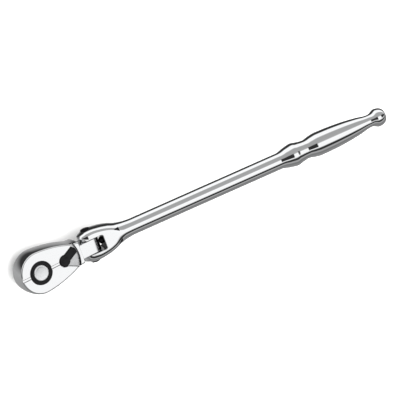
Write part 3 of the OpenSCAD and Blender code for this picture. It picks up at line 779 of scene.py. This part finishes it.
def make_ring():
    outer, inner = ring_high.x, BUTTON_R + FIT
    spigot = button_high.x + FIT
    foot = TOP_Z - 1
    profile = [(inner, ring_low.z), (spigot, ring_low.z), (spigot, foot), (outer, foot)]
    profile += arc((outer - 0.25, TOP_Z - 0.25), 0.25, 0, 90, 5)
    profile += arc((inner + 0.3, TOP_Z - 0.3), 0.3, 90, 180, 5)
    ring = turned("moulded_ring", profile, 120, "Z", (0, 0, 0), [NYLON])
    place(ring, "drive", "button_ring")


def make_button():
    flange, radius, top = button_high.x, BUTTON_R, button_high.z
    bore = plunger_high.x
    step = button_low.z + 1.2
    socket = button_low.z + 1.7
    profile = [(0, socket), (bore, socket), (bore, button_low.z), (flange, button_low.z),
               (flange, step), (radius, step)]
    profile += arc((radius - 0.5, top - 0.5), 0.5, 0, 90, 7)
    # The thumb's hollow
    profile += [(radius * share, top - DISH * (1 - share ** 2)) for share in (0.8, 0.6, 0.4, 0.2)]
    profile.append((0, top - DISH))
    button = turned("push_button", profile, 120, "Z", (0, 0, 0), [FACED_STEEL])
    place(button, "button", "release_button")


def make_spring():
    """The coil under the button: three turns of round wire."""
    low, high = node_box("button_spring")
    turns, per_turn, sides = 3, 32, 12
    mean, first, last = high.x - SPRING_WIRE_R, low.z + SPRING_WIRE_R, high.z - SPRING_WIRE_R
    rings = []
    for i in range(turns * per_turn + 1):
        a = 2 * math.pi * i / per_turn
        z = between(first, last, i / (turns * per_turn))
        section = [(mean + SPRING_WIRE_R * math.cos(b), SPRING_WIRE_R * math.sin(b))
                   for b in [2 * math.pi * j / sides for j in range(sides)]]
        rings.append([(r * math.cos(a), r * math.sin(a), z + h) for r, h in section])
    points, faces = loft(rings)
    spring = new_piece("button_coil", points, faces, [SPRING_WIRE])
    tidy_mesh(spring)
    place(spring, "drive", "button_spring")
    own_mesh(spring)


# ---------------------------------------------------------------- the rest of the parts, as packed

PART_FINISH = {
    "cover_plate": BRUSHED_CHROME, "cover_screws": BLACK_OXIDE_AND_PAINTED_SHADE, "drive_gear": BRUSHED_CHROME,
    "thrust_washer": BRONZE, "release_plunger": GROUND_STEEL,
    "detent_ball": GROUND_STEEL, "pawl": GROUND_STEEL, "pawl_pin": GROUND_STEEL,
    "lever_plunger": GROUND_STEEL, "lever_spring": SPRING_WIRE, "lever_clip": BLACK_OXIDE_AND_PAINTED_SHADE,
    "lever_seal": NITRILE, "friction_washers": BLACK_OXIDE_AND_PAINTED_SHADE, "friction_plug": BLACK_OXIDE_AND_PAINTED_SHADE,
    "friction_spring": SPRING_WIRE}


def finish_parts():
    for name, material in PART_FINISH.items():
        part = frame["nodes"][name]
        part.data.materials.clear()
        part.data.materials.append(material)


def place(piece, body, node):
    """Shades a finished piece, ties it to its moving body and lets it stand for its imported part."""
    smooth(piece)
    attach(piece, body)
    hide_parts(node)


make_handle()
make_pivot_bolt()
make_head()
make_lever()
make_ring()
make_button()
make_spring()
finish_parts()

# ---------------------------------------------------------------- studio


def make_floor():
    material, tree = new_material("white_paper")
    # Seamless background paper: matt, with a faint fibre
    fibre, _ = mottled(tree, 3.0, 0, 1)
    bump = add(tree, "ShaderNodeBump", {"Strength": 0.02, "Distance": 0.05 * MM}, {"Height": fibre})
    finish_surface(tree, {"Base Color": linear("#F6F6F5"), "Roughness": 0.9, "Specular IOR Level": 0.1}, {},
                   bump.outputs["Normal"])
    size = 4000
    level = cad_bounds[0][2] / MM - 0.2
    corners = [(-size, -size, level), (size, -size, level), (size, size, level), (-size, size, level)]
    floor = new_piece("floor", corners, [(0, 1, 2, 3)], [material])
    floor.visible_glossy = False


def make_light_tent():
    """A light tent round the tool: white cloth with grey and black strips that run along the handle."""
    world = bpy.data.worlds.new("light_tent")
    world.use_nodes = True
    tree = world.node_tree
    tree.nodes.clear()
    toward = add(tree, "ShaderNodeTexCoord")
    split = add(tree, "ShaderNodeSeparateXYZ", links={"Vector": toward.outputs["Generated"]})
    # Angle round the handle: 0 overhead, positive to the left side, as a share of a full turn
    angle = add(tree, "ShaderNodeMath", {"operation": "ARCTAN2"},
                {0: split.outputs["Y"], 1: split.outputs["Z"]})
    share = add(tree, "ShaderNodeMapRange", {"From Min": -math.pi, "From Max": math.pi},
                {"Value": angle.outputs["Value"]})
    strips = add(tree, "ShaderNodeValToRGB", links={"Fac": share.outputs["Result"]})

    def turn(degrees):
        return (degrees + 180) / 360
    set_ramp(strips, [(turn(degrees), value) for degrees, value in (
        (-180, 0.42), (-150, 0.34), (-112, 0.28), (-95, 0.26), (-80, 0.20), (-70, 0.24), (-62, 0.42),
        (-52, 0.42), (-46, 0.03), (-28, 0.03), (-20, 1.05), (14, 1.10), (24, 0.42), (68, 0.40), (78, 1.10),
        (112, 1.10), (122, 0.03), (152, 0.04), (166, 0.30), (180, 0.42))])
    # Black flags across the roof to both sides of its middle: only the sloping parts of the handle show them
    off_middle = add(tree, "ShaderNodeMath", {"operation": "SUBTRACT", 1: 0.15}, {0: split.outputs["X"]})
    distance = add(tree, "ShaderNodeMath", {"operation": "ABSOLUTE"}, {0: off_middle.outputs["Value"]})
    beyond = add(tree, "ShaderNodeMapRange", {"From Min": 0.34, "From Max": 0.40},
                 {"Value": distance.outputs["Value"]})
    roof = add(tree, "ShaderNodeValToRGB", links={"Fac": share.outputs["Result"]})
    set_ramp(roof, [(turn(-16), 0), (turn(-12), 1), (turn(24), 1), (turn(28), 0)])
    flag = add(tree, "ShaderNodeMath", {"operation": "MULTIPLY"},
               {0: beyond.outputs["Result"], 1: roof.outputs["Color"]})
    cloth = add(tree, "ShaderNodeMix", {"data_type": "RGBA", 7: (0.03, 0.03, 0.03, 1)},
                {0: flag.outputs["Value"], 6: strips.outputs["Color"]})
    backdrop = add(tree, "ShaderNodeBackground", {"Strength": 1.0}, {"Color": cloth.outputs[2]})
    add(tree, "ShaderNodeOutputWorld", links={"Surface": backdrop.outputs["Background"]})
    bpy.context.scene.world = world


def make_softbox():
    """A wide overhead softbox that lights the paper. The tent alone shows in the reflections."""
    light = bpy.data.lights.new("softbox", "AREA")
    light.shape = "SQUARE"
    light.size = 3.0
    light.energy = 130
    softbox = bpy.data.objects.new("softbox", light)
    softbox.location = (0.1, 0, 2.0)
    softbox.visible_glossy = False
    bpy.context.scene.collection.objects.link(softbox)


make_floor()
make_light_tent()
make_softbox()
bpy.context.scene.view_settings.view_transform = "Standard"
